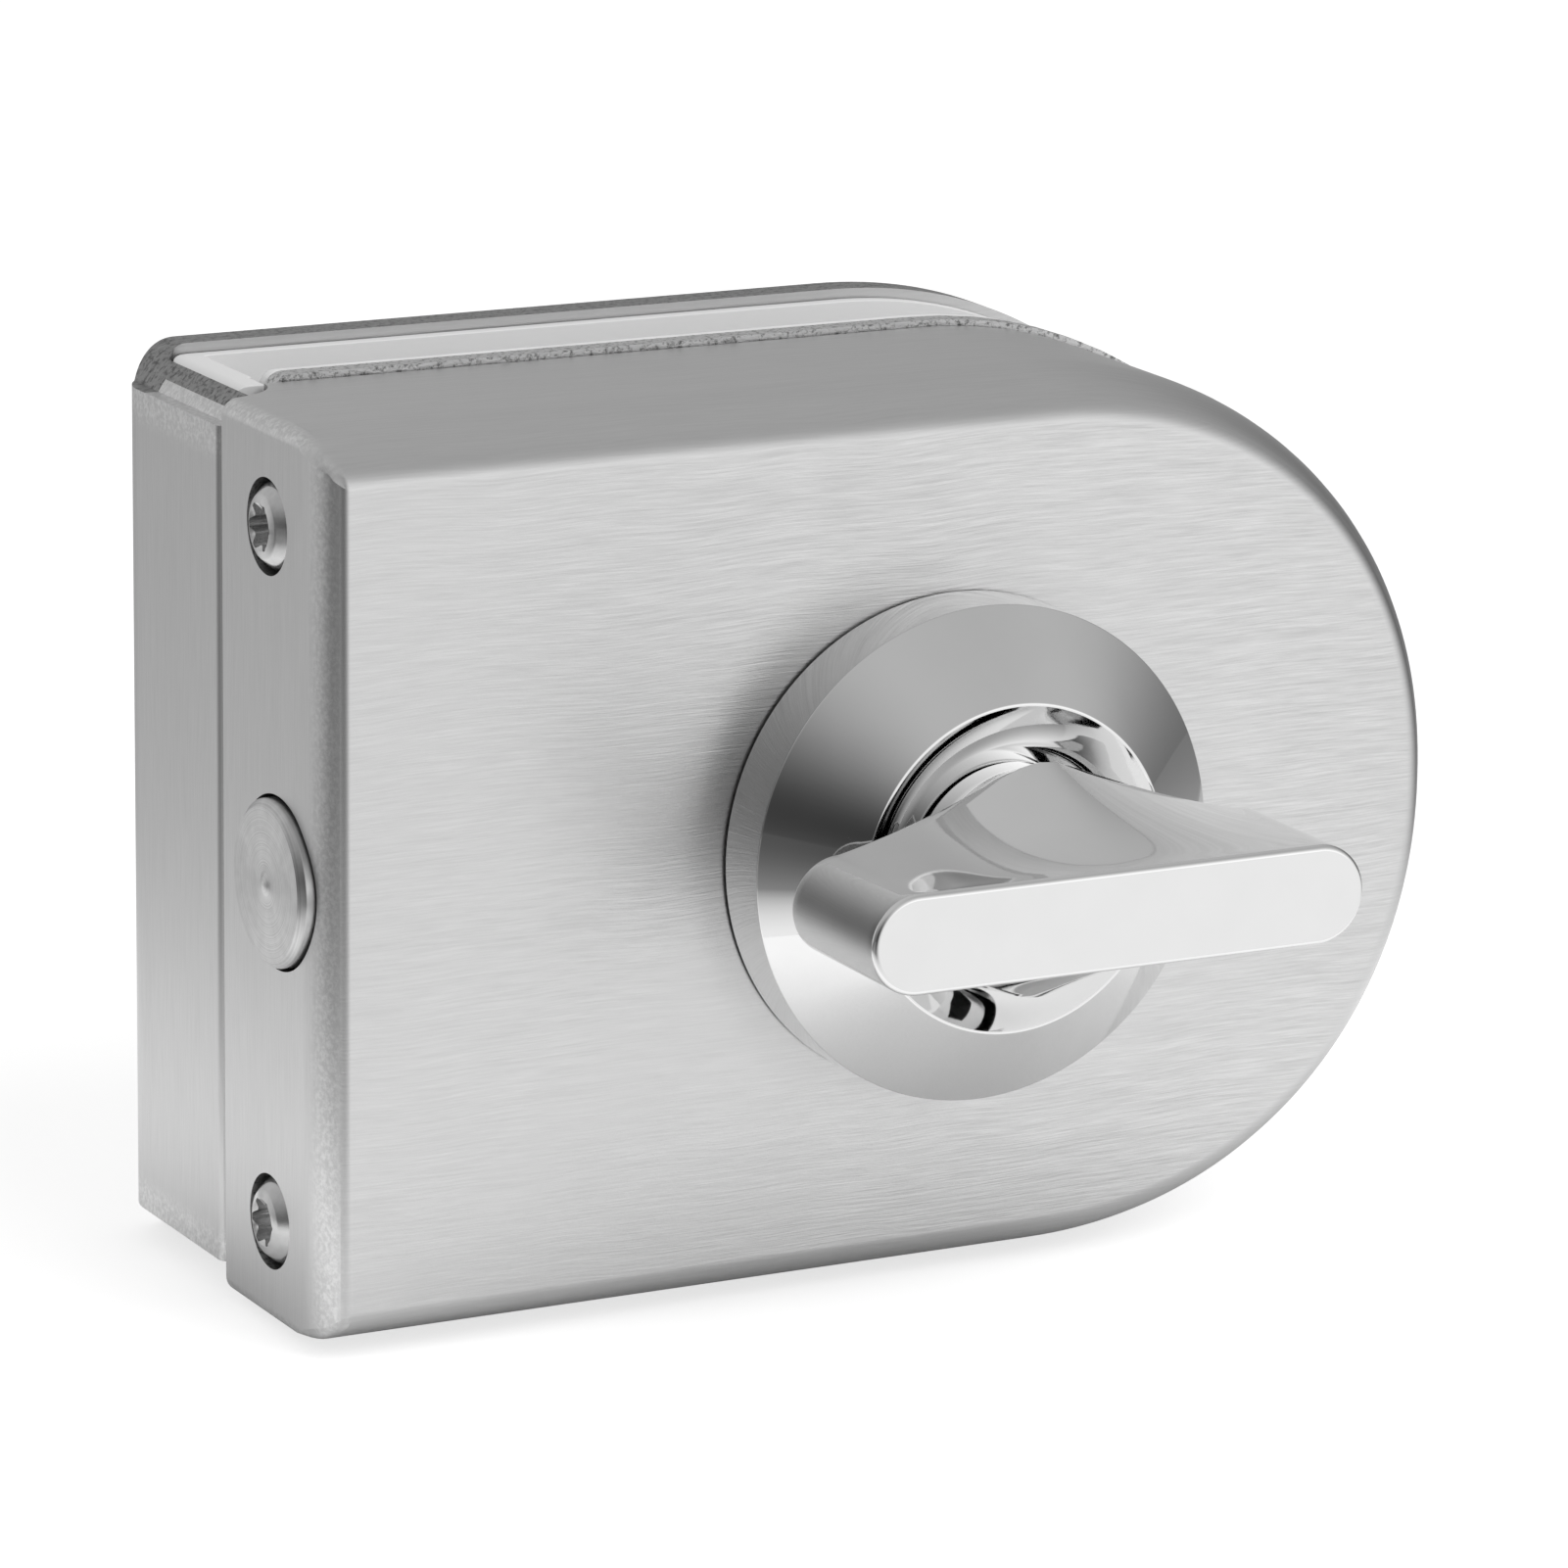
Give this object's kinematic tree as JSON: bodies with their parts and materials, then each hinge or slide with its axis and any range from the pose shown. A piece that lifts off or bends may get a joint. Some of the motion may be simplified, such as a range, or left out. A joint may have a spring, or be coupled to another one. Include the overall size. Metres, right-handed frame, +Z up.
{
  "type": "glass door lock",
  "caption": "Clamp-on lock for the free edge of a frameless glass door: a D-shaped brushed steel case with a flanged back plate, a round sliding bolt and a turning knob on a polished rosette.",
  "frame": {"origin": "where the thumbturn's axis meets the face of the front pad that lies on the glass", "axes": "+X from the bolt side to the round end, +Y from the knob side through the glass to the back plate, +Z up"},
  "size_m": [0.1026, 0.0703, 0.074],
  "materials": {
    "brushed_steel_shell": "fine straight brushing, satin",
    "polished_plating": "mirror-polished chrome plating",
    "turned_steel": "turned, fine rings on the end face",
    "screw_steel": "plain stainless",
    "cast_zinc": "bare die-cast surface",
    "lid_steel": "cold-rolled sheet",
    "pad_plastic": "white moulded plastic",
    "nylon": "natural nylon",
    "spring_steel": "oiled spring steel"
  },
  "bodies": {
    "case": {"cover": "brushed_steel_shell", "rear_plate": "brushed_steel_shell", "rosette": "polished_plating", "cover_screw_upper": "screw_steel", "cover_screw_lower": "screw_steel", "clamp_screw_upper": "screw_steel", "clamp_screw_lower": "screw_steel", "case_screw_1": "screw_steel", "case_screw_2": "screw_steel", "case_screw_3": "screw_steel", "case_screw_4": "screw_steel", "rosette_screw_left": "screw_steel", "rosette_screw_right": "screw_steel", "detent_plug": "screw_steel", "base_plate": "cast_zinc", "lock_case": "cast_zinc", "case_lid": "lid_steel", "front_pad": "pad_plastic", "rear_pad": "pad_plastic", "bolt_cradle": "nylon", "spindle_bush": "nylon", "detent_ball": "spring_steel", "detent_spring": "spring_steel"},
    "knob": {"thumbturn": "polished_plating", "grub_screw": "screw_steel", "spindle": "screw_steel", "crank": "cast_zinc"},
    "bolt": {"bolt": "turned_steel"}
  },
  "joints": [
    {"name": "thumbturn_turn", "type": "hinge", "parent": "case", "child": "knob", "pos_m": [0, -0.0278, 0], "axis": [0, 1, 0], "range_deg": [0, 90]},
    {"name": "bolt_slide", "type": "slide", "parent": "case", "child": "bolt", "axis": [-1, 0, 0], "range_m": [0, 0.01202]}
  ],
  "couplings": [
    {"joint": "thumbturn_turn", "follows": "bolt_slide", "rad_per_m": 130.67}
  ]
}
